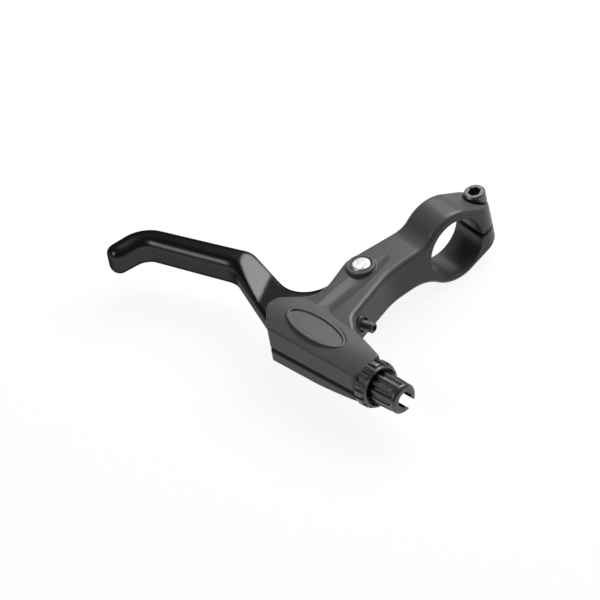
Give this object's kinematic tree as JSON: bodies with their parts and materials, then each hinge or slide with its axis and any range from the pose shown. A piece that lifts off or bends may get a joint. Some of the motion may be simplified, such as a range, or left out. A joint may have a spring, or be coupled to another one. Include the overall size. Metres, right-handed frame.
{
  "type": "bicycle brake lever",
  "caption": "Right-hand brake lever for a flat handlebar: cast bracket with split clamp and hollow head, hooked finger blade on a pivot pin, slotted cable adjuster with lock ring.",
  "frame": {"origin": "centre of the handlebar bore", "axes": "+X along the handlebar towards the stem, -Y forward towards the blade, +Z parallel to the pivot pin, up"},
  "size_m": [0.136, 0.1053, 0.0282],
  "materials": {
    "grey_coat": "satin dark grey coat",
    "black_coat": "satin black coat",
    "black_steel": "black oxide",
    "bright_steel": "polished",
    "spring_steel": "drawn wire",
    "bush_plastic": "plain",
    "black_plastic": "semi-gloss"
  },
  "bodies": {
    "bracket_body": {"bracket": "grey_coat", "clamp_bolt": "black_steel", "pivot_pin": "bright_steel", "pivot_screw": "black_steel", "return_spring": "spring_steel"},
    "blade_body": {"blade": "black_coat", "upper_bush": "bush_plastic", "lower_bush": "bush_plastic"},
    "lock_ring_body": {"lock_ring": "black_plastic"},
    "barrel_body": {"barrel_adjuster": "black_plastic"},
    "reach_screw_body": {"reach_screw": "black_steel"}
  },
  "joints": [
    {"name": "blade_swing", "type": "hinge", "parent": "bracket_body", "child": "blade_body", "pos_m": [-0.003, -0.033, 0.002], "axis": [0, 0, -1], "range_deg": [0, 30], "stiffness_Nm_per_rad": 0.06, "springref_deg": -28.65, "deforming": ["return_spring"]},
    {"name": "barrel_turn", "type": "hinge", "parent": "bracket_body", "child": "barrel_body", "pos_m": [0.0455, -0.06225, 0.0007], "axis": [0.994, 0.1097, 0], "continuous": true},
    {"name": "lock_ring_turn", "type": "hinge", "parent": "barrel_body", "child": "lock_ring_body", "pos_m": [0.04014, -0.06285, 0.0007], "axis": [0.994, 0.1097, 0], "continuous": true},
    {"name": "reach_screw_turn", "type": "hinge", "parent": "bracket_body", "child": "reach_screw_body", "pos_m": [0.00857, -0.04919, 0.002], "axis": [0.9494, 0.314, 0], "continuous": true}
  ]
}
